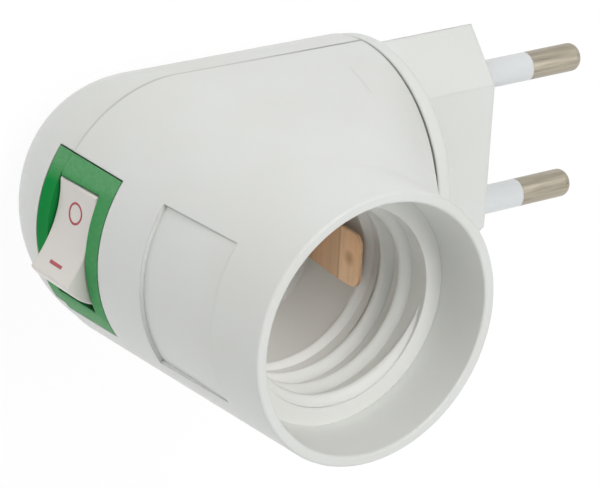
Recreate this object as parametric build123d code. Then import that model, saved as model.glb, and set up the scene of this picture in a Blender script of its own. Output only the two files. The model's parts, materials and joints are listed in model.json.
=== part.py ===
from build123d import *
from math import cos, radians, sin
import os

# Plug-in lamp holder: a moulded elbow housing with a screw socket for a lamp, a two-pin mains plug
# in its round neck, and a rocker switch in the wall behind the lamp barrel.
# Sizes are in millimetres. The model is laid out about the lamp axis (+Z out of the mouth, +X
# towards the plug), and moved at the end so that the origin is on the plug's face between its pins.

# Housing, outside
FACE_X = 48.5            # plug face, from the lamp axis
NECK_X = 29.45           # end of the housing's round neck
NECK_R = 18.3
MOUTH_Z = 44.8           # rim of the lamp barrel, above the plane of the pins
MOUTH_R = 18.1
THROAT_Z = 35.5          # the elbow's throat leaves the barrel here
BASE_R = 18.8            # barrel at the plane of the pins, where housing and cover part
BASE_X = -0.6            # its centre: the wall behind the barrel has more draft
COVER_R = 18.55          # half-round cover under the lamp axis, a shade inside the shell
DOME_X = -0.5            # its domed end, behind the barrel
DOME_R = 18.6
DOME_WALL = 2.5          # the dome's wall runs straight down this far before it turns in
DOME_TURN_R = 18.0
DOME_BLEND = 12.0
WALL = 1.7
RIM_ROUND = 0.35
PARTING = 0.28           # open seam between housing and cover
LIP_HIGH = 1.2           # the cover's lip stands this far up inside the housing
LIP_T = 0.8
LIP_FIT = 0.1

# Lamp barrel, inside
SKIRT_R = 16.65          # skirt at the rim
SKIRT_FOOT_R = 15.75
SHOULDER_Z = 37.0        # the threaded cup seats against this shoulder
THREAD_ROOT_R = 13.35
THREAD_END_Z = 27.4      # below the thread the cup is a little narrower
CUP_BORE_R = 13.05
CUP_R = 14.9
CUP_FLOOR_Z = 14.0
CUP_FLOOR_T = 2.2
CUP_FLANGE_T = 2.2
CUP_FIT = 0.12
CUP_POSTS = [(0.5, 11.2), (0.5, -11.2)]
CUP_POST_R = 1.8

# Lamp contacts
STRIP_T = 0.5
SIDE_WIDTH = 7.3         # strip that touches the lamp cap's shell
SIDE_FOOT_X = 11.78      # it comes up through the floor here, and leans in
SIDE_BEND_X, SIDE_BEND_Z = 10.5, 23.0
SIDE_TOP_Z = 27.0
SIDE_CORNER = 1.5
SIDE_SLOT = (10.8, 12.2)
CENTRE_WIDTH = 5.0       # tongue under the lamp's foot
CENTRE_TOP_Z = 20.9
CONTACT_SCREWS = {"centre": -7.2, "side": 5.5}
CONTACT_SHANK_R = 1.2
CONTACT_HEAD_R = 2.1
CONTACT_HEAD_T = 1.1
CONTACT_HOLE_R = 1.25
CROSS_SLOT = 0.6         # width of the screws' cross slots, and their depth

# Cover screws
COVER_SCREWS = [(8.0, 10.0), (8.0, -10.0)]
COVER_SCREW_SEAT = -9.0
COVER_SCREW_TIP = 8.0
COVER_SHANK_R = 1.1
COVER_HEAD_R = 2.3
COVER_HEAD_T = 1.7
BOSS_R = 2.6
BOSS_HIGH = 11.0
PILLAR_R = 3.2           # the cover's hollow posts round the screws

# Plug
PIN_R = 2.0
PIN_ROOT_R = 1.8         # the pin's turned-down root, held in the block
PIN_OUT = 19.0
PIN_PITCH = 19.0
PIN_POINT = 1.2
SLEEVE_LENGTH = 10.0
SLEEVE_CORE_R = 1.5
TAIL_X = 30.8            # flat solder tail of the pin, inside the neck
TAIL_HALF_T = 0.6
BLOCK_RIDGE = 17.5       # half width at the plane of the pins
BLOCK_FLAT = 10.5        # half width of the flat top and bottom
BLOCK_HALF_T = 6.0
BLOCK_ROUND = 0.5
COLLAR_R = 18.05
COLLAR_T = 2.5
COLLAR_ROUND = 0.9
SWIVEL_GAP = 0.5
SPIGOT_R = 13.0
FLANGE_R = 15.4
FLANGE_T = 1.8
RUN = 0.15               # running clearance on a radius
PLUG_WALL_X = 36.5       # the plug is solid from here to its face
POCKET = (11.3, 4.0)     # half width and half height of the hollow behind that wall

# Switch
SECTOR = 34.0            # half angle of the bezel, about the lamp axis
BEZEL_LOW, BEZEL_HIGH = -3.2, 11.05
BEZEL_SEAM = 0.15
BEZEL_BACK_R = 15.4
TRAP_R = 16.8            # the bezel's hidden rim, which holds it between housing and cover
ROCKER_LOW, ROCKER_HIGH = -0.3, 8.2
ROCKER_X = -14.4         # trunnion axis
ROCKER_END = [(47.0, 8.35), (68.0, 8.0), (90.0, 7.66)]  # angle and radius along each end
ROCKER_DISH = 1.25
ROCKER_ROUND = 0.3
ROCKER_REST = 20.0       # the O end is pressed at rest: tilt from the middle
TRUNNION_R = 1.2
WELL_R = 8.55
WELL_END = 0.25          # clearance of the rocker's two flanks
BOX_X = -15.6
BOX_HALF = 9.6
BOX_WALL = 1.3
SWITCH_FLOOR_X = -7.4
SWITCH_BACK_X = -5.9
LEVER_X = -9.4
LEVER_TILT = 8.0
LEVER_T = 0.6
LEVER_HALF = 6.4
BLADE_HALF_T = 0.4
BLADE_HALF = 2.0
BLADE_END_X = -1.0
OUTPUT_Y = 6.2           # the blade that the lever switches

# Leads
LEAD_R = 0.8
LUG_R = 2.9
LUG_T = 1.0
LUG_WIRE_X = 2.55        # the wire's end, from the middle of its lug
LUG_WIRE_Z = 0.95        # the wire's middle, below the lug's top
SOLDER_Z = TAIL_HALF_T + LEAD_R

# Label recess
LABEL_LOW, LABEL_HIGH = 20.4, 35.3
LABEL_HALF = 34.5        # half angle, about the lamp axis
LABEL_TURN = 1.3         # it sits a little off the middle
LABEL_LEAN = 2.5         # and leans a little
LABEL_DEPTH = 0.05       # at its upper end: the floor is upright and the wall has draft

BARREL_TAPER = (BASE_R - MOUTH_R) / MOUTH_Z
CUP_UNDER_Z = CUP_FLOOR_Z - CUP_FLOOR_T
SWITCH_Z = (ROCKER_LOW + ROCKER_HIGH) / 2
COLLAR_X = NECK_X + SWIVEL_GAP
BLOCK_X = COLLAR_X + COLLAR_T
FLANGE_X = NECK_X - WALL - RUN - FLANGE_T
FAR = 30.0               # beyond the housing's outside, for cutting tools


def barrel_r(z):
    return BASE_R - BARREL_TAPER * z


def barrel_x(z):
    return BASE_X * (1 - z / MOUTH_Z)


def slab(x0, x1, y0, y1, z0, z1):
    return Pos((x0 + x1) / 2, (y0 + y1) / 2, (z0 + z1) / 2) * Box(x1 - x0, y1 - y0, z1 - z0)


def rod(r, x0, x1, y=0.0, z=0.0):
    """Round bar along X."""
    return Pos((x0 + x1) / 2, y, z) * Rot(0, 90, 0) * Cylinder(r, x1 - x0)


def post(r, z0, z1, x=0.0, y=0.0):
    """Round bar along Z."""
    return Pos(x, y, (z0 + z1) / 2) * Cylinder(r, z1 - z0)


def facet(points):
    return make_face(Polyline(*points, close=True))


def half_disc(x, z, r, upright):
    """Half disc on the side of the throat: upright at the neck, level at the barrel."""
    crown = (x, 0, z + r) if upright else (x + r, 0, z)
    return make_face([ThreePointArc((x, r, z), crown, (x, -r, z)), Line((x, -r, z), (x, r, z))])


def elbow(inset, top_z, neck_x):
    """Housing above the parting plane, taken in by an inset, up to top_z and out to neck_x."""
    base_r, neck_r = BASE_R - inset, NECK_R - inset
    throat_z = THROAT_Z - inset / 2
    throat_x, throat_r = barrel_x(throat_z), barrel_r(throat_z) - inset
    rings = [Pos(barrel_x(z), 0, z) * Circle(barrel_r(z) - inset) for z in (0, throat_z, top_z)]
    lower, upper = [loft(pair, ruled=True) for pair in zip(rings, rings[1:])]
    sides = [facet([(BASE_X, s * base_r, 0), (neck_x, s * neck_r, 0), (throat_x, s * throat_r, throat_z)])
             for s in (1, -1)]
    wedge = loft(sides, ruled=True)
    throat = loft([half_disc(throat_x, throat_z, throat_r, False), half_disc(neck_x, 0, neck_r, True)],
                  ruled=True)
    return lower + wedge + throat + upper


def trough(inset, neck_x, blend=0.0):
    """Housing below the parting plane: a half round along X that ends in a dome."""
    wall_r, neck_r, turn_r, bar_r = DOME_R - inset, NECK_R - inset, DOME_TURN_R - inset, COVER_R - inset
    turn_x, bottom = wall_r - turn_r, -DOME_WALL - turn_r
    turn = RadiusArc((wall_r, -DOME_WALL), (turn_x, bottom), turn_r)
    outline = [Polyline((0, 0), (wall_r, 0), (wall_r, -DOME_WALL)), turn,
               Polyline((turn_x, bottom), (0, bottom), (0, 0))]
    end = Pos(DOME_X, 0, 0) * revolve(Plane.XZ * make_face(outline), Axis.Z)
    plan = end + slab(DOME_X, neck_x, -wall_r, wall_r, bottom, 0)
    far_r = neck_r + (bar_r - neck_r) * (neck_x + FAR) / (neck_x - DOME_X)
    bar = Pos((neck_x - FAR) / 2, 0, 0) * Rot(0, 90, 0) * Cone(far_r, neck_r, neck_x + FAR)
    body = plan & bar & slab(-FAR, neck_x, -FAR, FAR, -FAR, 0)
    if blend:
        body = fillet([e for e in body.edges() if is_mitre(e)], blend)
    return body


def is_mitre(edge):
    """Edges where the dome meets the half round."""
    middle = edge.center()
    return edge.geom_type == GeomType.BSPLINE and middle.X < DOME_X and middle.Z < -0.2


def sector(z0, z1, half_angle, r0=0.0, r1=FAR):
    """Wedge of wall behind the lamp barrel, between two heights and two radii."""
    a = radians(half_angle)
    left, right = (-r1 * cos(a), r1 * sin(a)), (-r1 * cos(a), -r1 * sin(a))
    fan = make_face([Line((0, 0), left), ThreePointArc(left, (-r1, 0), right), Line(right, (0, 0))])
    wedge = extrude(Pos(0, 0, z0) * fan, z1 - z0)
    return wedge - post(r0, z0 - 1, z1 + 1) if r0 else wedge


OUTSIDE_UP = elbow(0, MOUTH_Z, NECK_X)
OUTSIDE_DOWN = trough(0, NECK_X, DOME_BLEND)
INSIDE_UP = elbow(WALL, SHOULDER_Z, NECK_X - WALL)
INSIDE_DOWN = trough(WALL, NECK_X - WALL)


def neck_bore():
    return rod(SPIGOT_R + RUN, NECK_X - WALL - 1, NECK_X + 1)


def switch_cut():
    return sector(BEZEL_LOW - BEZEL_SEAM, BEZEL_HIGH + BEZEL_SEAM, SECTOR + 0.5, r0=8.0)


def label_recess():
    middle = (LABEL_LOW + LABEL_HIGH) / 2
    patch = Pos(0, 0, -middle) * sector(LABEL_LOW, LABEL_HIGH, LABEL_HALF)
    patch = Rot(0, 0, -LABEL_TURN) * Pos(0, 0, middle) * Rot(-LABEL_LEAN, 0, 0) * patch
    return patch - post(barrel_r(LABEL_HIGH) - LABEL_DEPTH, LABEL_LOW - 2, LABEL_HIGH + 2)


def front_shell():
    skirt = Pos(0, 0, SHOULDER_Z) * loft(
        [Circle(SKIRT_FOOT_R), Pos(0, 0, MOUTH_Z - SHOULDER_Z) * Circle(SKIRT_R)], ruled=True)
    shell = OUTSIDE_UP - INSIDE_UP - skirt - neck_bore()
    rims = shell.edges().filter_by(GeomType.CIRCLE).group_by(Axis.Z)[-1]
    shell = fillet(rims, RIM_ROUND)
    shell -= label_recess()
    shell -= switch_cut()
    shell -= slab(-FAR, FAR, -FAR, FAR, -1, PARTING / 2)
    for x, y in COVER_SCREWS:
        rib_out = 1.75 * y
        shell += post(BOSS_R, -PARTING / 2, BOSS_HIGH, x, y)
        shell += slab(x - 0.7, x + 0.7, *sorted((y, rib_out)), LIP_HIGH + 0.3, BOSS_HIGH - 1)
        shell -= post(COVER_SHANK_R, -1, COVER_SCREW_TIP + 1, x, y)
    return shell


def back_cover():
    cover = OUTSIDE_DOWN - INSIDE_DOWN - neck_bore()
    for x, y in COVER_SCREWS:
        cover += post(PILLAR_R, -FAR, 0, x, y) & OUTSIDE_DOWN
        cover -= post(COVER_SHANK_R + 0.4, -FAR, 1, x, y)
        cover -= post(COVER_HEAD_R + 0.2, -FAR, COVER_SCREW_SEAT, x, y)
    lip_out, lip_in, neck_in = WALL + LIP_FIT, WALL + LIP_FIT + LIP_T, NECK_X - WALL
    lip = elbow(lip_out, SHOULDER_Z, neck_in - LIP_FIT) - elbow(lip_in, SHOULDER_Z, neck_in)
    lip &= slab(-FAR, neck_in - 3, -FAR, FAR, 0, LIP_HIGH)
    root = trough(WALL - LIP_FIT, neck_in) - trough(lip_in, NECK_X)
    root &= slab(-FAR, neck_in - 3, -FAR, FAR, -2.5, 0)
    ring = OUTSIDE_DOWN - INSIDE_DOWN
    cover -= ring & slab(-FAR, FAR, -FAR, FAR, -PARTING / 2, 0)
    cover += (lip + root) - sector(-5, 5, SECTOR + 5)
    for x, y in COVER_SCREWS:
        cover -= post(BOSS_R + 0.2, -PARTING / 2, LIP_HIGH + 1, x, y)
        cover -= post(COVER_SHANK_R + 0.4, COVER_SCREW_SEAT, 1, x, y)
    for x, y in CUP_POSTS:
        cover += post(CUP_POST_R, -13.5, CUP_UNDER_Z, x, y)
    cover -= switch_cut()
    return cover


def thread_insert():
    """Cup that the lamp screws into. The thread itself is too fine for this model."""
    flange_r = barrel_r(SHOULDER_Z) - WALL - CUP_FIT
    slot_half = SIDE_WIDTH / 2 + 0.25
    cup = post(CUP_R, CUP_UNDER_Z, SHOULDER_Z)
    cup += post(flange_r, SHOULDER_Z - CUP_FLANGE_T, SHOULDER_Z, barrel_x(SHOULDER_Z))
    cup -= post(THREAD_ROOT_R, THREAD_END_Z, SHOULDER_Z + 1)
    cup -= post(CUP_BORE_R, CUP_FLOOR_Z, THREAD_END_Z)
    cup -= slab(*SIDE_SLOT, -slot_half, slot_half, CUP_UNDER_Z - 1, CUP_FLOOR_Z + 1)
    cup -= post(CONTACT_HOLE_R, CUP_UNDER_Z - 1, CUP_FLOOR_Z + 1, CONTACT_SCREWS["centre"])
    cup -= post(CONTACT_HOLE_R, CUP_UNDER_Z - 1, CUP_FLOOR_Z - 0.5, CONTACT_SCREWS["side"])
    return cup


def strip(points, bend_r, width):
    """Sheet metal strip of one width, bent along points in the upright middle plane."""
    line = FilletPolyline(*points, radius=bend_r)
    return extrude(Plane.XZ * trace(line, STRIP_T), width / 2, both=True)


def side_contact():
    under = CUP_UNDER_Z - STRIP_T / 2
    bent = strip([(3.0, under), (SIDE_FOOT_X, under), (SIDE_BEND_X, SIDE_BEND_Z), (SIDE_BEND_X, SIDE_TOP_Z)],
                 0.7, SIDE_WIDTH)
    bent = fillet(bent.edges().filter_by(Axis.X).group_by(Axis.Z)[-1], SIDE_CORNER)
    return bent - post(CONTACT_HOLE_R + 0.05, under - 1, under + 1, CONTACT_SCREWS["side"])


def centre_contact():
    foot = CUP_FLOOR_Z + STRIP_T / 2
    bent = strip([(-9.6, foot), (-4.5, foot), (-1.9, CENTRE_TOP_Z), (1.4, CENTRE_TOP_Z),
                  (2.8, CENTRE_TOP_Z - 1.1)], 0.8, CENTRE_WIDTH)
    return bent - post(CONTACT_HOLE_R + 0.05, foot - 1, foot + 1, CONTACT_SCREWS["centre"])


def screw(x, y, seat_z, end_z, shank_r, head_r, head_t):
    """Flat-headed screw whose head sits on seat_z and whose shank runs to end_z."""
    out = 1 if seat_z > end_z else -1
    top_z = seat_z + out * head_t
    body = post(head_r, *sorted((seat_z, top_z)), x, y) + post(shank_r, *sorted((seat_z, end_z)), x, y)
    reach, half = head_r * 0.6, CROSS_SLOT / 2
    cross = slab(x - reach, x + reach, y - half, y + half, top_z - CROSS_SLOT, top_z + CROSS_SLOT)
    cross += slab(x - half, x + half, y - reach, y + reach, top_z - CROSS_SLOT, top_z + CROSS_SLOT)
    return body - cross


def contact_screws():
    head = (CONTACT_SHANK_R, CONTACT_HEAD_R, CONTACT_HEAD_T)
    from_above = screw(CONTACT_SCREWS["centre"], 0, CUP_FLOOR_Z + STRIP_T, CUP_UNDER_Z - 1.6, *head)
    from_below = screw(CONTACT_SCREWS["side"], 0, CUP_UNDER_Z - STRIP_T - LUG_T, CUP_FLOOR_Z - 0.6, *head)
    return Compound([from_above, from_below])


def cover_screws():
    head = (COVER_SHANK_R, COVER_HEAD_R, COVER_HEAD_T)
    return Compound([screw(x, y, COVER_SCREW_SEAT, COVER_SCREW_TIP, *head) for x, y in COVER_SCREWS])


def switch_body():
    """Bezel flush with the housing, and the box behind it, moulded as one."""
    z0, z1 = ROCKER_LOW - WELL_END, ROCKER_HIGH + WELL_END
    bezel = sector(BEZEL_LOW, BEZEL_HIGH, SECTOR, r0=BEZEL_BACK_R) & (OUTSIDE_UP + OUTSIDE_DOWN)
    trap = sector(BEZEL_LOW - 1.0, BEZEL_HIGH + 1.0, SECTOR + 4, r0=BEZEL_BACK_R, r1=TRAP_R)
    box = slab(BOX_X, SWITCH_BACK_X, -BOX_HALF, BOX_HALF, z0 - BOX_WALL, z1 + BOX_WALL)
    well = post(WELL_R, z0, z1, ROCKER_X) & slab(-FAR, SWITCH_FLOOR_X, -FAR, FAR, -FAR, FAR)
    well += slab(-12, SWITCH_FLOOR_X, -7.7, 7.7, z0, z1)
    body = bezel + trap + box - well
    body -= post(TRUNNION_R + 0.1, z0 - 0.9, z1 + 0.9, ROCKER_X)
    for y in (0.0, OUTPUT_Y):
        body -= slab(SWITCH_FLOOR_X - 1, 0, y - BLADE_HALF_T, y + BLADE_HALF_T,
                     SWITCH_Z - BLADE_HALF, SWITCH_Z + BLADE_HALF)
    return body


def tilt(shape, x, angle):
    """Turn a shape, laid out about the origin, and hang it on its pivot in the switch."""
    return Pos(x, 0, SWITCH_Z) * Rot(0, 0, angle) * shape


def rocker():
    half_t = (ROCKER_HIGH - ROCKER_LOW) / 2
    upper, lower = [[(-r * cos(radians(a)), s * r * sin(radians(a))) for a, r in ROCKER_END] for s in (1, -1)]
    face = ThreePointArc(lower[0], (upper[0][0] + ROCKER_DISH, 0), upper[0])
    under = Polyline(upper[2], (1.6, 5.0), (1.6, -5.0), lower[2])
    outline = make_face([face, ThreePointArc(*upper), under, ThreePointArc(*lower)])
    body = extrude(outline, half_t, both=True)
    edges = body.edges().filter_by(lambda e: e.center().X < -2)
    body = fillet(edges, ROCKER_ROUND)
    body += post(TRUNNION_R, -half_t - 1.0, half_t + 1.0)
    body += rod(2.0, 1.0, 2.6)
    body -= rod(1.2, -3.0, 3.0)
    return tilt(body, ROCKER_X, -ROCKER_REST)


def rocker_plunger():
    body = rod(1.15, 0.2, 3.3) + Pos(3.3, 0, 0) * Sphere(1.15)
    return tilt(body, ROCKER_X, -ROCKER_REST)


def rocker_spring():
    wire_r, coil_r, length = 0.16, 0.9, 2.7
    coil = Helix(pitch=0.9, height=length, radius=coil_r)
    start = Plane(origin=coil @ 0, z_dir=coil % 0)
    body = sweep(start * Circle(wire_r), path=coil, is_frenet=True)
    return tilt(Pos(-2.8, 0, 0) * Rot(0, 90, 0) * body, ROCKER_X, -ROCKER_REST)


def contact_lever():
    body = slab(-LEVER_T / 2, LEVER_T / 2, -LEVER_HALF, LEVER_HALF, -1.9, 1.9)
    body += post(0.5, -1.9, 1.9)
    body += rod(1.0, LEVER_T / 2, LEVER_T / 2 + 0.3, y=LEVER_HALF - 0.8)
    return tilt(body, LEVER_X, LEVER_TILT)


def switch_terminal(y):
    blade = slab(SWITCH_FLOOR_X, BLADE_END_X, y - BLADE_HALF_T, y + BLADE_HALF_T,
                 SWITCH_Z - BLADE_HALF, SWITCH_Z + BLADE_HALF)
    return blade - Pos(-2.6, y, SWITCH_Z) * Rot(90, 0, 0) * Cylinder(0.9, 3)


def switch_common_terminal():
    cradle = slab(-8.95, SWITCH_FLOOR_X, -BLADE_HALF_T, BLADE_HALF_T,
                  SWITCH_Z - BLADE_HALF, SWITCH_Z + BLADE_HALF)
    cradle -= Pos(LEVER_X, 0, SWITCH_Z) * Cylinder(0.6, 5)
    return switch_terminal(0.0) + cradle


def switch_output_terminal():
    pad = slab(SWITCH_FLOOR_X - 0.35, SWITCH_FLOOR_X, OUTPUT_Y - 1.6, OUTPUT_Y + 1.0,
               SWITCH_Z - BLADE_HALF, SWITCH_Z + BLADE_HALF)
    return switch_terminal(OUTPUT_Y) + pad


def plug_block():
    outline = [(BLOCK_RIDGE, 0), (BLOCK_FLAT, BLOCK_HALF_T), (-BLOCK_FLAT, BLOCK_HALF_T),
               (-BLOCK_RIDGE, 0), (-BLOCK_FLAT, -BLOCK_HALF_T), (BLOCK_FLAT, -BLOCK_HALF_T)]
    section = Plane.YZ * make_face(Polyline(*outline, close=True))
    block = Pos(COLLAR_X, 0, 0) * extrude(section, FACE_X - COLLAR_X)
    block = fillet(block.edges().filter_by(lambda e: e.center().X > FACE_X - 0.1), BLOCK_ROUND)
    collar = rod(COLLAR_R, COLLAR_X, BLOCK_X)
    collar = fillet(collar.edges().group_by(Axis.X)[-1], COLLAR_ROUND)
    block += collar + rod(SPIGOT_R, FLANGE_X, COLLAR_X) + rod(FLANGE_R, FLANGE_X, FLANGE_X + FLANGE_T)
    wide, high = POCKET
    block -= slab(FLANGE_X - 1, PLUG_WALL_X, -wide, wide, -high, high)
    for s in (1, -1):
        block -= rod(PIN_ROOT_R, PLUG_WALL_X - 1, FACE_X + 1, s * PIN_PITCH / 2)
    return block


def plug_pin(side):
    y = side * PIN_PITCH / 2
    bare_x = FACE_X + SLEEVE_LENGTH
    point = rod(PIN_R, bare_x, FACE_X + PIN_OUT, y)
    point = fillet(point.edges().group_by(Axis.X)[-1], PIN_POINT)
    pin = rod(PIN_ROOT_R, PLUG_WALL_X, FACE_X, y) + rod(SLEEVE_CORE_R, FACE_X, bare_x, y) + point
    tail = slab(TAIL_X, PLUG_WALL_X, y - 1.6, y + 1.6, -TAIL_HALF_T, TAIL_HALF_T)
    return pin + tail - post(LEAD_R, -2, 2, TAIL_X + 1.6, y)


def pin_sleeve(side):
    y = side * PIN_PITCH / 2
    sleeve = rod(PIN_R, FACE_X, FACE_X + SLEEVE_LENGTH, y)
    return sleeve - rod(SLEEVE_CORE_R, FACE_X - 1, FACE_X + SLEEVE_LENGTH + 1, y)


def lead(points, bend_r, lug=None):
    """Insulated wire along straight runs and arcs, with a ring lug at its end where it has one."""
    route = FilletPolyline(*points, radius=bend_r)
    start = Plane(origin=route @ 0, z_dir=route % 0)
    wire = sweep(start * Circle(LEAD_R), path=route)
    if lug:
        x, top_z = lug
        wire += post(LUG_R, top_z - LUG_T, top_z, x)
        wire -= post(CONTACT_HOLE_R, top_z - LUG_T - 1, top_z + 1, x)
    return wire


def live_lead():
    y = PIN_PITCH / 2
    at_blade = BLADE_HALF_T + LEAD_R
    return lead([(33.8, y, SOLDER_Z), (25.0, y, SOLDER_Z), (14.0, 5.0, SWITCH_Z),
                 (4.0, at_blade, SWITCH_Z), (-3.6, at_blade, SWITCH_Z)], 4.0)


def neutral_lead():
    y = -PIN_PITCH / 2
    lug_x, lug_top = CONTACT_SCREWS["side"], CUP_UNDER_Z - STRIP_T
    z = lug_top - LUG_WIRE_Z
    return lead([(33.8, y, SOLDER_Z), (25.0, y, SOLDER_Z), (16.0, -5.0, z), (lug_x + LUG_WIRE_X, 0, z)],
                4.0, (lug_x, lug_top))


def switched_lead():
    lug_x, lug_top = CONTACT_SCREWS["centre"], CUP_UNDER_Z
    z = lug_top - LUG_WIRE_Z
    y = OUTPUT_Y - BLADE_HALF_T - LEAD_R
    return lead([(-3.6, y, SWITCH_Z), (1.6, y, SWITCH_Z), (1.2, 1.0, z), (lug_x + LUG_WIRE_X, 0, z)],
                2.0, (lug_x, lug_top))


NODES = {
    "front_shell": front_shell,
    "back_cover": back_cover,
    "thread_insert": thread_insert,
    "side_contact": side_contact,
    "centre_contact": centre_contact,
    "contact_screws": contact_screws,
    "cover_screws": cover_screws,
    "switch_body": switch_body,
    "switch_common_terminal": switch_common_terminal,
    "switch_output_terminal": switch_output_terminal,
    "contact_lever": contact_lever,
    "rocker": rocker,
    "rocker_plunger": rocker_plunger,
    "rocker_spring": rocker_spring,
    "plug_block": plug_block,
    "plug_pin_left": lambda: plug_pin(1),
    "plug_pin_right": lambda: plug_pin(-1),
    "sleeve_left": lambda: pin_sleeve(1),
    "sleeve_right": lambda: pin_sleeve(-1),
    "live_lead": live_lead,
    "neutral_lead": neutral_lead,
    "switched_lead": switched_lead,
}

if __name__ == "__main__":
    os.makedirs("parts", exist_ok=True)
    for name, make in NODES.items():
        shape = make()
        print(name, shape.is_valid, len(shape.solids()), round(shape.volume, 1))
        export_step(Pos(-FACE_X, 0, 0) * shape, f"parts/{name}.step")
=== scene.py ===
import json
from math import cos, pi, radians, sin

import bpy
import bmesh
from mathutils import Matrix, Vector


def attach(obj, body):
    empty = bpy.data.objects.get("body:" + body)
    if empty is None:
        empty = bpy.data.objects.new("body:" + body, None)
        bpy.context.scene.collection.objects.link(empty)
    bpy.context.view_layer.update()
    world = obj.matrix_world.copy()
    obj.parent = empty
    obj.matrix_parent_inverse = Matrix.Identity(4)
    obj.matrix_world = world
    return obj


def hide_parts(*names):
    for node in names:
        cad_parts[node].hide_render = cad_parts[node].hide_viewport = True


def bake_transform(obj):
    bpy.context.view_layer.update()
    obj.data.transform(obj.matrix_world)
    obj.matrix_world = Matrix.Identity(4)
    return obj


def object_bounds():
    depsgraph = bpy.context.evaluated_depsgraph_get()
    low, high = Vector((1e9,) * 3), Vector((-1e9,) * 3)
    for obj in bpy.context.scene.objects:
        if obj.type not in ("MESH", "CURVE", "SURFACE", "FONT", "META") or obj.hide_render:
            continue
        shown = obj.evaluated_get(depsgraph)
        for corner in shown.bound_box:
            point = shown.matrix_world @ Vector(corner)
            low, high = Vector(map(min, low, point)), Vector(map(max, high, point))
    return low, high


# Looks of the plug-in lamp holder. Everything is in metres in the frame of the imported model:
# origin on the plug's face between the pins, +X along the pins, +Z out of the lamp barrel.

MM = 0.001
X, Z = (1, 0, 0), (0, 0, 1)
WHITE = (1.0, 1.0, 1.0)

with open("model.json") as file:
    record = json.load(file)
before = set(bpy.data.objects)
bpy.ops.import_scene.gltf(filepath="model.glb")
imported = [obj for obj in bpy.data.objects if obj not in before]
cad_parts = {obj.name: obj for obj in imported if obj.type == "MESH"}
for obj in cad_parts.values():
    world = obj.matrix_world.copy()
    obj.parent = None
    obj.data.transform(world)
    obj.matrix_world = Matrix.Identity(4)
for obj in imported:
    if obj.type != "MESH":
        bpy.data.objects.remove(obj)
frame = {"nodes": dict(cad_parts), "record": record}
cad_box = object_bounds()
nodes = frame["nodes"]


# Camera, at the photograph's viewing angle

CAMERA_AT = (-0.302223, 0.183978, 0.363882)
CAMERA_RIGHT = (0.809952, 0.051640, 0.584219)
CAMERA_UP = (0.190402, 0.919012, -0.345202)
FOCAL_PIXELS = 3659.8
FRAME_WIDTH = 600                # pixels
SENSOR = 36.0                    # millimetres, as Blender has it
NEAREST, FARTHEST = 0.01, 20.0


def make_camera():
    data = bpy.data.cameras.new("camera")
    data.sensor_fit = "HORIZONTAL"
    data.sensor_width = SENSOR
    data.lens = FOCAL_PIXELS / FRAME_WIDTH * SENSOR
    data.clip_start, data.clip_end = NEAREST, FARTHEST
    camera = bpy.data.objects.new("camera", data)
    right, up = Vector(CAMERA_RIGHT), Vector(CAMERA_UP)
    axes = Matrix((right, up, right.cross(up))).transposed()
    camera.matrix_world = Matrix.Translation(CAMERA_AT) @ axes.to_4x4()
    bpy.context.scene.collection.objects.link(camera)
    bpy.context.scene.camera = camera


# Node helpers. Those that add a node take plain values or other nodes' outputs, and return its output

NOISE_LOW, NOISE_HIGH = 0.25, 0.75   # nearly all of a noise lies between these


def new_material(name):
    material = bpy.data.materials.new(name)
    material.use_nodes = True
    return material


def parts_of(material):
    """A material's node tree and its surface shader."""
    tree = material.node_tree
    return tree, next(n for n in tree.nodes if n.type == "BSDF_PRINCIPLED")


def feed(tree, socket, value):
    """Give a socket another node's output, or a number, a vector or a colour of its own."""
    if isinstance(value, bpy.types.NodeSocket):
        tree.links.new(value, socket)
    elif socket.type == "RGBA":
        socket.default_value = (*value, 1.0)
    else:
        socket.default_value = value


def colour_of(shader):
    """The output that feeds a shader's colour so far."""
    return shader.inputs["Base Color"].links[0].from_socket


def place(tree, kind="Object"):
    """Object coordinates, which are the frame's own, in metres, or another kind."""
    return tree.nodes.new("ShaderNodeTexCoord").outputs[kind]


def component(tree, vector, axis):
    node = tree.nodes.new("ShaderNodeSeparateXYZ")
    feed(tree, node.inputs["Vector"], vector)
    return node.outputs[axis]


def maths(tree, operation, *values):
    """A number worked out from one or two others."""
    node = tree.nodes.new("ShaderNodeMath")
    node.operation = operation
    for socket, value in zip(node.inputs, values):
        feed(tree, socket, value)
    return node.outputs["Value"]


def vector_maths(tree, operation, *vectors):
    """A number worked out from two vectors."""
    node = tree.nodes.new("ShaderNodeVectorMath")
    node.operation = operation
    for socket, vector in zip(node.inputs, vectors):
        feed(tree, socket, vector)
    return node.outputs["Value"]


def remap(tree, value, from_low, from_high, low=0.0, high=1.0):
    """Map one range of a value onto another, held at its ends."""
    node = tree.nodes.new("ShaderNodeMapRange")
    ends = (("From Min", from_low), ("From Max", from_high), ("To Min", low), ("To Max", high))
    for name, number in (("Value", value), *ends):
        feed(tree, node.inputs[name], number)
    return node.outputs["Result"]


def noise(tree, scale, detail=2.0, rough=0.55, stretch=None):
    """Noise in the frame's space, stretched along an axis where asked."""
    node = tree.nodes.new("ShaderNodeTexNoise")
    at = place(tree)
    if stretch:
        mapping = tree.nodes.new("ShaderNodeMapping")
        feed(tree, mapping.inputs["Scale"], stretch)
        feed(tree, mapping.inputs["Vector"], at)
        at = mapping.outputs["Vector"]
    for name, value in (("Vector", at), ("Scale", scale), ("Detail", detail), ("Roughness", rough)):
        feed(tree, node.inputs[name], value)
    return node.outputs["Fac"]


def ramp(tree, value, stops):
    """Colour ramp from (position, colour) pairs."""
    node = tree.nodes.new("ShaderNodeValToRGB")
    elements = node.color_ramp.elements
    while len(elements) < len(stops):
        elements.new(0.5)
    for element, (position, colour) in zip(elements, stops):
        element.position = position
        element.color = (*colour, 1.0)
    feed(tree, node.inputs["Fac"], value)
    return node.outputs["Color"]


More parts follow.
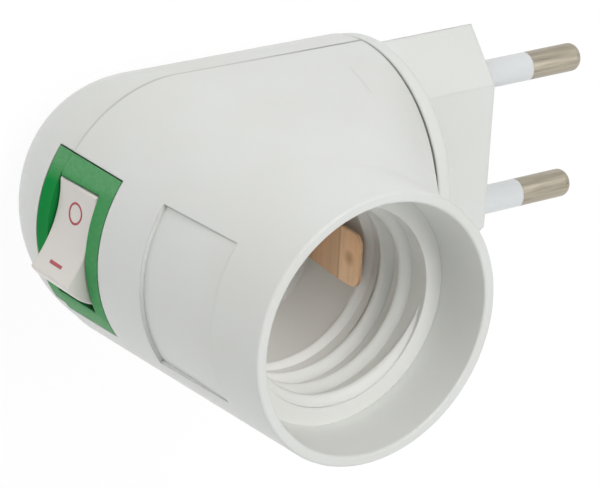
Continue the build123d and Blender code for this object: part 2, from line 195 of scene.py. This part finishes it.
def blended(tree, factor, first, second, blend="MIX"):
    """Blend of two colours by a factor from 0 to 1."""
    node = tree.nodes.new("ShaderNodeMix")
    node.data_type = "RGBA"
    node.blend_type = blend
    feed(tree, node.inputs["Factor"], factor)
    colours = [i for i in node.inputs if i.type == "RGBA"]
    for socket, colour in zip(colours, (first, second)):
        feed(tree, socket, colour)
    return next(o for o in node.outputs if o.type == "RGBA")


def bump(tree, relief, height, strength, under=None):
    """Normals of a relief of a height in metres, over other normals where there are any."""
    node = tree.nodes.new("ShaderNodeBump")
    node.inputs["Strength"].default_value = strength
    node.inputs["Distance"].default_value = height
    feed(tree, node.inputs["Height"], relief)
    if under is not None:
        feed(tree, node.inputs["Normal"], under)
    return node.outputs["Normal"]


def share_along(tree, axis, low, high):
    """0 to 1 from low to high along one of the frame's axes."""
    return remap(tree, component(tree, place(tree), axis), low, high)


def near_plane(tree, across, at, half, fade, peak=1.0):
    """The peak within half of a plane across a direction, and nothing beyond fade more."""
    along = vector_maths(tree, "DOT_PRODUCT", place(tree), across)
    away = maths(tree, "ABSOLUTE", maths(tree, "SUBTRACT", along, at))
    return remap(tree, away, half, half + fade, peak, 0.0)


def near_point(tree, at, radius, fade):
    """1 within a radius of a point, and nothing beyond fade more."""
    away = vector_maths(tree, "DISTANCE", place(tree), at)
    return remap(tree, away, radius, radius + fade, 1.0, 0.0)


def tint(colour, factor):
    return tuple(min(1.0, c * factor) for c in colour)


# Moulded plastic, with painted shade along its lines and in its closed seams

PLASTIC_IOR = 1.49
DRIFT_SCALE = 45.0               # slow drift of shade
DRIFT_DARK, DRIFT_PALE = 0.32, 0.68  # where on its noise the two ends lie
DRIFT_UP = 0.4                   # it brightens by this share of what it darkens by
WARM = (1.0, 0.995, 0.97)        # its dark end is a little warmer
GRAIN_SCALE = 1600.0
GRAIN_HEIGHT = 0.012 * MM
GRAIN_STRENGTH = 0.6
GRAIN_ROUGH = 0.6                # of its noise
WAVE_LONGER = 9                  # the slight wave under the grain is this many times as long
WAVE_HEIGHT = 2.5 * GRAIN_HEIGHT
WAVE_STRENGTH = 0.5
SMOOTHER, ROUGHER = 0.05, 0.07   # swing of the roughness with the grain
EDGE_RADIUS = 0.3 * MM
EDGE_SAMPLES = 4
# Painted shade in closed seams and slots, from how closed in each spot is
SEAM_REACH = 0.5 * MM
SEAM_SAMPLES = 8
SEAM_CLOSED, SEAM_OPEN = 0.1, 0.5    # how open a spot is where the shade is full, and where it ends
SEAM_SHADE = (0.50, 0.49, 0.46)

# Painted shade lines on the housing, darkening its seams and a mould's witness arc: a plane across a
# direction, where, half its width and its soft edge; the shade of the line; and the stretch of it that
# shows, given the same way
PARTING_SEAM_SHADE = ((Z, 0.0, 0.1 * MM, 0.4 * MM),
                (0.62, 0.615, 0.60),
                (X, -40.0 * MM, 15.0 * MM, 10.0 * MM))
NECK_GAP_SHADE = ((X, -18.8 * MM, 0.3 * MM, 0.4 * MM),
             (0.80, 0.80, 0.78),
             None)
WITNESS_ARC_SHADE = (((1, 0, 0.324), -24.2 * MM, 0.05 * MM, 0.3 * MM),
             (0.92, 0.92, 0.91),
             (Z, 11.9 * MM, 3.4 * MM, 1.2 * MM))


def soft_edges(tree, radius):
    """Normals that turn round an edge, as a moulded one does."""
    node = tree.nodes.new("ShaderNodeBevel")
    node.samples = EDGE_SAMPLES
    node.inputs["Radius"].default_value = radius
    return node.outputs["Normal"]


def painted_seam_shade(tree, colour):
    """Painted shade: darken a colour where the surface is closed in, as in a seam or a slot."""
    node = tree.nodes.new("ShaderNodeAmbientOcclusion")
    node.samples = SEAM_SAMPLES
    node.inputs["Distance"].default_value = SEAM_REACH
    closed = remap(tree, node.outputs["AO"], SEAM_CLOSED, SEAM_OPEN, 1.0, 0.0)
    return blended(tree, closed, colour, SEAM_SHADE, "MULTIPLY")


def moulded(name, colour, rough, grain=GRAIN_SCALE, swing=0.03, warm=WARM, edge=EDGE_RADIUS, lines=()):
    """Slow drift of shade from the flow of the melt, and a fine spark-eroded grain, with painted shade
    in closed seams and along the given lines.
    """
    material = new_material(name)
    tree, shader = parts_of(material)
    dark = tuple(c * w for c, w in zip(tint(colour, 1 - swing), warm))
    pale = tint(colour, 1 + swing * DRIFT_UP)
    drift = ramp(tree, noise(tree, DRIFT_SCALE), [(DRIFT_DARK, dark), (DRIFT_PALE, pale)])
    shown = painted_seam_shade(tree, drift)
    # Painted shade along each line
    for plane, shade, stretch in lines:
        peak = near_plane(tree, *stretch) if stretch else 1.0
        shown = blended(tree, near_plane(tree, *plane, peak), shown, shade, "MULTIPLY")
    fine = noise(tree, grain, rough=GRAIN_ROUGH)
    spread = remap(tree, fine, NOISE_LOW, NOISE_HIGH, rough - SMOOTHER, rough + ROUGHER)
    coarse = noise(tree, grain / WAVE_LONGER)
    wave = bump(tree, coarse, WAVE_HEIGHT, WAVE_STRENGTH, soft_edges(tree, edge))
    grained = bump(tree, fine, GRAIN_HEIGHT, GRAIN_STRENGTH, wave)
    for socket, value in (("Base Color", shown), ("Roughness", spread), ("Normal", grained)):
        feed(tree, shader.inputs[socket], value)
    shader.inputs["IOR"].default_value = PLASTIC_IOR
    return material


# Drawn or plated metal

LINE_DARK, LINE_PLAIN, LINE_PALE = 0.3, 0.55, 0.75   # where on the lines' noise each shade lies
LINE_DETAIL = 4.0
LINE_ROUGH = 0.65                # of the noise
LINE_HEIGHT = 0.004 * MM
LINE_STRENGTH = 0.5
SHINIER, DULLER = 0.06, 0.1      # swing of the roughness with the lines


def metal(name, colour, rough, stretch=None, scale=900.0, depth=0.25):
    """Fine lines along the axis of least stretch."""
    material = new_material(name)
    tree, shader = parts_of(material)
    lines = noise(tree, scale, LINE_DETAIL, LINE_ROUGH, stretch)
    dark, pale = tint(colour, 1 - depth), tint(colour, 1 + depth)
    shades = ramp(tree, lines, [(LINE_DARK, dark), (LINE_PLAIN, colour), (LINE_PALE, pale)])
    spread = remap(tree, lines, NOISE_LOW, NOISE_HIGH, rough - SHINIER, rough + DULLER)
    drawn = bump(tree, lines, LINE_HEIGHT, LINE_STRENGTH)
    for socket, value in (("Base Color", shades), ("Roughness", spread), ("Normal", drawn)):
        feed(tree, shader.inputs[socket], value)
    shader.inputs["Metallic"].default_value = 1.0
    return material


# Three materials that change over the piece, partly by painted light and shade

# Painted light: the cup's colour turns paler towards its floor over this height
CUP_Z = (25.0 * MM, 33.0 * MM)
CUP_DEEP_PAINTED_LIGHT = (0.895, 0.893, 0.87)

# Painted reflection haze on the green: it grows paler towards the barrel and on the bars across the
# rocker's ends, with a fine grain
BEZEL_Z = (-2.0 * MM, 17.0 * MM)     # the green grows paler over this height
BARS_FROM = 6.5 * MM             # the bars across the rocker's two ends, from the middle
BARS_FADE = 2.5 * MM
GREEN_PAINTED_HAZE = (0.078, 0.298, 0.109)
GREEN_HAZE_GRAIN = (0.155, 0.405, 0.188)
HAZE_GRAIN_SCALE = 1900.0
GREEN_SPECULAR = 0.03

STRIP_Z = (18.0 * MM, 27.0 * MM)
# Painted shade over that height: brown on the strip's slope, browner in a band at the fold, and paler
# and pinker above it
STRIP_PAINTED_SHADES = [(0.0, (0.85, 0.58, 0.38)),
               (0.48, (0.86, 0.60, 0.39)),
               (0.52, (0.70, 0.47, 0.30)),
               (0.56, (1.0, 0.73, 0.51)),
               (1.0, (0.95, 0.66, 0.43))]
# Painted shade of a dent: a darker round patch at a point, with its radius and soft edge
DENT_SHADE_SPOT = ((-38.1 * MM, 0.0, 24.9 * MM), 0.3 * MM, 1.0 * MM)
DENT_SHADE = (0.70, 0.62, 0.54)


def cup_plastic():
    """Rougher than the housing, and with painted light that makes it paler deep in the cup than round
    its ring.
    """
    material = moulded("cup_white", (0.755, 0.76, 0.735), 0.5, grain=1100.0)
    tree, shader = parts_of(material)
    shown = blended(tree, share_along(tree, "Z", *CUP_Z), CUP_DEEP_PAINTED_LIGHT, colour_of(shader))
    feed(tree, shader.inputs["Base Color"], shown)
    return material


def green_plastic():
    """Vivid away from the barrel, and paler towards it and on the bars across the rocker's ends by a
    painted reflection haze.
    """
    material = moulded("switch_green", (0.004, 0.262, 0.051), 0.36, grain=1300.0,
                       swing=0.12, warm=WHITE)
    tree, shader = parts_of(material)
    side = maths(tree, "ABSOLUTE", component(tree, place(tree), "Y"))
    bars = remap(tree, side, BARS_FROM, BARS_FROM + BARS_FADE)
    haze_share = maths(tree, "MAXIMUM", share_along(tree, "Z", *BEZEL_Z), bars)
    pale = blended(tree, noise(tree, HAZE_GRAIN_SCALE), GREEN_PAINTED_HAZE, GREEN_HAZE_GRAIN)
    feed(tree, shader.inputs["Base Color"], blended(tree, haze_share, colour_of(shader), pale))
    shader.inputs["Specular IOR Level"].default_value = GREEN_SPECULAR
    return material


def strip_brass():
    """Rolled strip, with painted shade over its height and a painted dent shade, a soft darker patch,
    on its upright part.
    """
    material = metal("contact_brass", (0.95, 0.93, 0.90), 0.4, stretch=(1.0, 0.08, 1.0),
                     scale=1100.0, depth=0.12)
    tree, shader = parts_of(material)
    tones = ramp(tree, share_along(tree, "Z", *STRIP_Z), STRIP_PAINTED_SHADES)
    shown = blended(tree, 1.0, colour_of(shader), tones, "MULTIPLY")
    shown = blended(tree, near_point(tree, *DENT_SHADE_SPOT), shown, DENT_SHADE, "MULTIPLY")
    feed(tree, shader.inputs["Base Color"], shown)
    return material


# All materials, by the record's slots

MOULDED = {
    "housing_white": dict(colour=(0.72, 0.73, 0.71), rough=0.42,
                          lines=(PARTING_SEAM_SHADE, NECK_GAP_SHADE, WITNESS_ARC_SHADE)),
    "plug_white": dict(colour=(0.72, 0.735, 0.715), rough=0.4, edge=0.5 * MM, lines=(NECK_GAP_SHADE,)),
    "sleeve_white": dict(colour=(0.70, 0.72, 0.73), rough=0.32, swing=0.015),
    "rocker_white": dict(colour=(0.74, 0.705, 0.67), rough=0.34),
    "mark_red": dict(colour=(0.52, 0.09, 0.11), rough=0.45, swing=0.1, warm=WHITE),
    "plunger_black": dict(colour=(0.03, 0.03, 0.03), rough=0.35),
    "lead_brown": dict(colour=(0.10, 0.035, 0.015), rough=0.45),
    "lead_blue": dict(colour=(0.02, 0.06, 0.25), rough=0.45),
}
METALS = {
    "pin_metal": dict(colour=(0.40, 0.36, 0.285), rough=0.3, stretch=(0.05, 1.0, 1.0),
                      scale=1400.0, depth=0.35),
    "screw_steel": dict(colour=(0.55, 0.55, 0.54), rough=0.3, stretch=(1.0, 1.0, 0.2)),
    "spring_steel": dict(colour=(0.5, 0.5, 0.5), rough=0.28),
}


def paint(slot, material):
    """Give a material to every CAD node of one of the record's slots."""
    for sub in frame["record"]["subparts"]:
        if sub["material_slot"] == slot:
            mesh = nodes[sub["node"]].data
            mesh.materials.clear()
            mesh.materials.append(material)


def make_materials():
    made = {name: moulded(name, **look) for name, look in MOULDED.items()}
    made.update({name: metal(name, **look) for name, look in METALS.items()})
    made.update(cup_white=cup_plastic(), switch_green=green_plastic(), contact_brass=strip_brass())
    for slot, material in made.items():
        paint(slot, material)
    return made


# Mesh helpers

def add_object(name, mesh, material, smooth):
    """An object with one material, put in the scene."""
    for polygon in mesh.polygons:
        polygon.use_smooth = smooth
    mesh.materials.clear()
    mesh.materials.append(material)
    piece = bpy.data.objects.new(name, mesh)
    bpy.context.scene.collection.objects.link(piece)
    return piece


def add_piece(name, points, faces, material, body, smooth=True):
    """A closed mesh that rides on a body, with all its faces turned outwards."""
    mesh = bpy.data.meshes.new(name)
    mesh.from_pydata(points, [], faces)
    made = bmesh.new()
    made.from_mesh(mesh)
    bmesh.ops.recalc_face_normals(made, faces=made.faces)
    made.to_mesh(mesh)
    made.free()
    piece = add_object(name, mesh, material, smooth)
    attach(piece, body)


def skin(rings, caps=True):
    """Points and faces over rings of equal length, capped at both ends or run round to meet."""
    count, total = len(rings[0]), len(rings)
    faces = []
    for r in range(total - 1 if caps else total):
        after = (r + 1) % total
        for i in range(count):
            j = (i + 1) % count
            faces.append((r * count + i, r * count + j, after * count + j, after * count + i))
    if caps:
        faces.append(tuple(range(count)))
        faces.append(tuple(range((total - 1) * count, total * count)))
    return [p for ring in rings for p in ring], faces


# Lamp thread of the cup: a rounded right-hand ridge on the cup's wall

LAMP_X = -48.5 * MM              # the lamp axis
THREAD_ROOT = 13.35 * MM
THREAD_DEPTH = 1.15 * MM
THREAD_PITCH = 3.63 * MM
THREAD_TOP = 36.15 * MM          # middle of the ridge where it starts, under the cup's flat ring
THREAD_START = -12.0             # degrees round the lamp axis from the plug's side
THREAD_TURNS = 3.35
STEPS_PER_TURN = 120
RUN_IN = 0.17                    # share of a turn over which each end tapers
RIDGE_HALF = 1.35 * MM
RIDGE_SUNK = 0.12 * MM           # the ridge's back is this far inside the wall
RIDGE_FULLNESS = 0.8             # the lower, the fuller its section
RIDGE_STEPS = 12
RIDGE_TIP = 0.1                  # share of the ridge's width left at its very end
RIDGE_LEAST = 0.02               # share of its height left there


def ridge_profile(size):
    """(distance in from the wall, height) round the ridge's section, for a size from 0 to 1."""
    half = RIDGE_HALF * (RIDGE_TIP + (1 - RIDGE_TIP) * size)
    points = []
    for i in range(RIDGE_STEPS + 1):
        t = -1 + 2 * i / RIDGE_STEPS
        swell = 0.5 + 0.5 * cos(pi * t)
        points.append((THREAD_DEPTH * size * swell ** RIDGE_FULLNESS, t * half))
    points.append((-RIDGE_SUNK, half))
    points.append((-RIDGE_SUNK, -half))
    return points


def lamp_thread(material):
    rings = []
    for step in range(int(STEPS_PER_TURN * THREAD_TURNS) + 1):
        turn = step / STEPS_PER_TURN
        near_end = min(turn, THREAD_TURNS - turn) / RUN_IN
        size = max(RIDGE_LEAST, sin(min(1.0, near_end) * pi / 2))
        angle = radians(THREAD_START - 360 * turn)
        middle = THREAD_TOP - THREAD_PITCH * turn
        ring = []
        for inward, up in ridge_profile(size):
            r = THREAD_ROOT - inward
            ring.append((LAMP_X + r * cos(angle), r * sin(angle), middle + up))
        rings.append(ring)
    points, faces = skin(rings)
    add_piece("lamp_thread", points, faces, material, "housing")


# Marks printed on the rocker: a ring at the end that is pressed when off, a bar at the other

ROCKER_FACE_R = 15.54 * MM       # the rocker's dished face, round an upright axis
ROCKER_FACE_X = -19.99 * MM      # that axis, from the trunnions, with the rocker level
ROCKER_REST = radians(-20.0)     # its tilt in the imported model
PRINT_LIFT = 0.03 * MM
PRINT_SUNK = 0.05 * MM
RING_AT = 2.68 * MM              # along the face's curve from its middle
RING_R = 1.34 * MM
RING_LINE = 0.30 * MM
RING_STEPS = 48
BAR_AT = -4.4 * MM
BAR_HALF = 1.35 * MM
BAR_LINE = 0.46 * MM


def joint_at(name):
    joint = next(j for j in frame["record"]["behaviour"]["joints"] if j["name"] == name)
    return Vector(joint["pos_m"])


def on_rocker(along, up, lift):
    """Point over the rocker's face, from its distance along the curve and its height."""
    angle = along / ROCKER_FACE_R
    r = ROCKER_FACE_R - lift
    x, y = ROCKER_FACE_X + r * cos(angle), r * sin(angle)
    c, s = cos(ROCKER_REST), sin(ROCKER_REST)
    pivot = joint_at("rocker_tilt")
    return (pivot.x + c * x - s * y, pivot.y + s * x + c * y, pivot.z + up)


def print_section(middle, width):
    """(place across the line, lift off the face) round a printed line's section."""
    low, high = middle - width / 2, middle + width / 2
    return [(low, -PRINT_SUNK), (high, -PRINT_SUNK), (high, PRINT_LIFT), (low, PRINT_LIFT)]


def rocker_marks(material):
    ring = []
    for i in range(RING_STEPS):
        a = 2 * pi * i / RING_STEPS
        ring.append([on_rocker(RING_AT + r * sin(a), r * cos(a), lift)
                     for r, lift in print_section(RING_R, RING_LINE)])
    bar = []
    for up in (-BAR_HALF, 0.0, BAR_HALF):
        bar.append([on_rocker(along, up, lift) for along, lift in print_section(BAR_AT, BAR_LINE)])
    for name, rings, caps in (("mark_off", ring, False), ("mark_on", bar, True)):
        points, faces = skin(rings, caps)
        add_piece(name, points, faces, material, "rocker", smooth=False)


# Leads to the pins: each the CAD lead's own mesh, cut across along its length

LEAD_FROM = -24.4 * MM           # just inside the plug's flange
LEAD_TO = -34.0 * MM
LEAD_CUTS = 16


def flexing_lead(node, material):
    """The CAD lead's own mesh, cut across often enough to flex."""
    made = bmesh.new()
    made.from_mesh(nodes[node].data)
    for cut in range(LEAD_CUTS + 1):
        x = LEAD_FROM + (LEAD_TO - LEAD_FROM) * cut / LEAD_CUTS
        bmesh.ops.bisect_plane(made, geom=made.verts[:] + made.edges[:] + made.faces[:],
                               plane_co=(x, 0, 0), plane_no=X)
    mesh = bpy.data.meshes.new(node + "_flexing")
    made.to_mesh(mesh)
    made.free()
    piece = add_object(node + "_flexing", mesh, material, smooth=True)
    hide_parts(node)
    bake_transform(piece)


# Floor, background and light

FLOOR_GAP = 0.2 * MM
FLOOR_SIZE = 6.0
FLOOR_ROUGH = 0.9
FLOOR_SCALE = 30.0
FLOOR_TONES = [(0.3, (0.88, 0.88, 0.88)), (0.7, (0.9, 0.9, 0.9))]
FLOOR_WHITE = 0.88               # share of plain white in what is seen of the floor
FLOOR_GLOW = 1.04
WORLD_TINT = (0.98, 0.99, 1.0)
WORLD_BASE = 0.04
WORLD_LEFT = 0.12                # added from the frame's -X, the picture's left
WORLD_BELOW = 1.35               # added from the frame's -Y, under the picture
LAMPS = (                        # name, place and watts
    ("key", (0.0, 0.75, 0.8), 5.8),
    ("top", (0.2, 0.2, 1.05), 3.4),
    ("side", (-0.75, 0.75, 0.2), 2.5),
)
LAMP_SIZE = 0.7
LAMP_AIM = (-0.03, 0.0, 0.01)


def seen_white(tree):
    """1 for what the camera sees directly, in a reflection or through glass."""
    path = tree.nodes.new("ShaderNodeLightPath")
    seen = maths(tree, "MAXIMUM", path.outputs["Is Camera Ray"], path.outputs["Is Glossy Ray"])
    return maths(tree, "MAXIMUM", seen, path.outputs["Is Transmission Ray"])


def glow(tree, kind, colour, strength):
    node = tree.nodes.new(kind)
    feed(tree, node.inputs["Color"], colour)
    feed(tree, node.inputs["Strength"], strength)
    return node.outputs[0]


def show_mix(tree, share, first, second, output):
    """Show two shaders mixed, with a share of the second."""
    mix = tree.nodes.new("ShaderNodeMixShader")
    for socket, source in zip(mix.inputs, (share, first, second)):
        tree.links.new(source, socket)
    tree.links.new(mix.outputs["Shader"], output.inputs["Surface"])


def make_floor():
    """Lit white floor, most of it shown as plain white, so that a soft shadow is left."""
    material = new_material("floor_white")
    tree, shader = parts_of(material)
    shader.inputs["Roughness"].default_value = FLOOR_ROUGH
    speckle = noise(tree, FLOOR_SCALE, detail=3.0)
    feed(tree, shader.inputs["Base Color"], ramp(tree, speckle, FLOOR_TONES))
    share = maths(tree, "MULTIPLY", seen_white(tree), FLOOR_WHITE)
    white = glow(tree, "ShaderNodeEmission", WHITE, FLOOR_GLOW)
    output = next(n for n in tree.nodes if n.type == "OUTPUT_MATERIAL")
    show_mix(tree, share, shader.outputs["BSDF"], white, output)
    mesh = bpy.data.meshes.new("floor")
    s = FLOOR_SIZE / 2
    mesh.from_pydata([(-s, -s, 0), (s, -s, 0), (s, s, 0), (-s, s, 0)], [], [(0, 1, 2, 3)])
    floor = add_object("floor", mesh, material, smooth=False)
    floor.location.z = cad_box[0].z - FLOOR_GAP


def make_world():
    """Soft light from under the picture and from its left, over a low level from all round."""
    world = bpy.data.worlds.new("world")
    bpy.context.scene.world = world
    world.use_nodes = True
    tree = world.node_tree
    tree.nodes.clear()
    towards = place(tree, "Generated")
    left = remap(tree, component(tree, towards, "X"), 0.0, -1.0, 0.0, WORLD_LEFT)
    below = remap(tree, component(tree, towards, "Y"), 0.0, -1.0, 0.0, WORLD_BELOW)
    level = maths(tree, "ADD", maths(tree, "ADD", left, below), WORLD_BASE)
    light = glow(tree, "ShaderNodeBackground", WORLD_TINT, level)
    white = glow(tree, "ShaderNodeBackground", WHITE, 1.0)
    show_mix(tree, seen_white(tree), light, white, tree.nodes.new("ShaderNodeOutputWorld"))


def make_lamps():
    for name, at, watts in LAMPS:
        data = bpy.data.lights.new(name, "AREA")
        data.shape = "DISK"
        data.size = LAMP_SIZE
        data.energy = watts
        lamp = bpy.data.objects.new(name, data)
        lamp.location = at
        lamp.rotation_mode = "QUATERNION"
        lamp.rotation_quaternion = (Vector(LAMP_AIM) - Vector(at)).to_track_quat("-Z", "Y")
        bpy.context.scene.collection.objects.link(lamp)


make_camera()
materials = make_materials()
lamp_thread(materials["cup_white"])
rocker_marks(materials["mark_red"])
flexing_lead("live_lead", materials["lead_brown"])
flexing_lead("neutral_lead", materials["lead_blue"])
make_floor()
make_world()
make_lamps()

bpy.context.scene.view_settings.view_transform = "Standard"
